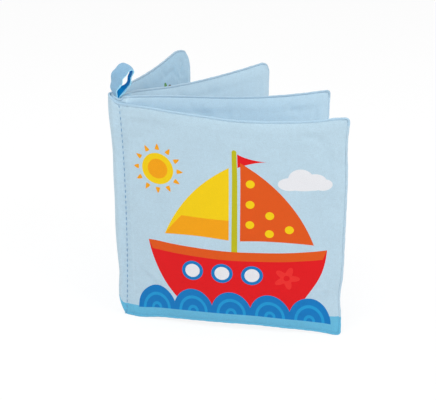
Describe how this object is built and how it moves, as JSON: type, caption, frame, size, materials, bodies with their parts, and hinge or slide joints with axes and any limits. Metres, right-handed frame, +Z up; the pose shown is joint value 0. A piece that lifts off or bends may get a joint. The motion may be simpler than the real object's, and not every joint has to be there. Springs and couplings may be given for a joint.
{
  "type": "baby cloth book",
  "caption": "Padded cotton cloth book for a baby, standing open on its feet, with leaves that swing on a sewn spine and a tape loop to hang it by.",
  "frame": {"origin": "middle of the spine's foot, where the sewn fold stands on the ground", "axes": "+Z up along the spine, +X from the spine towards the free edge of the front cover, -Y out of the front cover towards a reader"},
  "size_m": [0.146, 0.1429, 0.1659],
  "materials": {
    "cover_cloth": "matt padded cotton twill, pale blue",
    "page_cloth": "matt cotton twill, slightly deeper blue",
    "wadding": "needled polyester wadding",
    "sewing_thread": "polyester sewing thread",
    "tape": "woven cotton tape"
  },
  "bodies": {
    "spine": {"hanging_loop_tails": "tape", "inner_spread_fold_cloth": "page_cloth", "inner_spread_fold_lining": "page_cloth", "inner_spread_fold_wadding": "wadding", "spine_cover_cloth": "cover_cloth", "spine_lining_cloth": "page_cloth", "spine_stitching_back": "sewing_thread", "spine_stitching_front": "sewing_thread", "spine_wadding": "wadding"},
    "front_cover": {"front_cover_edge_seam": "cover_cloth", "front_cover_inner_cloth": "page_cloth", "front_cover_outer_cloth": "cover_cloth", "front_cover_wadding": "wadding"},
    "leaf_2": {"leaf_2_back_cloth": "page_cloth", "leaf_2_edge_seam": "page_cloth", "leaf_2_front_cloth": "page_cloth", "leaf_2_wadding": "wadding"},
    "leaf_3": {"leaf_3_back_cloth": "page_cloth", "leaf_3_edge_seam": "page_cloth", "leaf_3_front_cloth": "page_cloth", "leaf_3_wadding": "wadding"},
    "back_cover": {"back_cover_edge_seam": "cover_cloth", "back_cover_inner_cloth": "page_cloth", "back_cover_outer_cloth": "cover_cloth", "back_cover_wadding": "wadding"},
    "hanging_loop": {"hanging_loop": "tape"}
  },
  "joints": [
    {"name": "front_cover_hinge", "type": "hinge", "parent": "spine", "child": "front_cover", "pos_m": [0.0028, -0.0019, 0], "axis": [0, 0, 1], "range_deg": [-98, 22]},
    {"name": "leaf_2_hinge", "type": "hinge", "parent": "spine", "child": "leaf_2", "pos_m": [0.0028, -0.0019, 0], "axis": [0, 0, 1], "range_deg": [-22, 12]},
    {"name": "leaf_3_hinge", "type": "hinge", "parent": "spine", "child": "leaf_3", "pos_m": [0.0028, 0.0019, 0], "axis": [0, 0, 1], "range_deg": [-12, 22]},
    {"name": "back_cover_hinge", "type": "hinge", "parent": "spine", "child": "back_cover", "pos_m": [0.0028, 0.0019, 0], "axis": [0, 0, 1], "range_deg": [-22, 15]},
    {"name": "loop_bend", "type": "hinge", "parent": "spine", "child": "hanging_loop", "pos_m": [-0.0022, 0, 0.1445], "axis": [1, 0, 0], "range_deg": [-14, 40], "stiffness_Nm_per_rad": 0.0003}
  ]
}
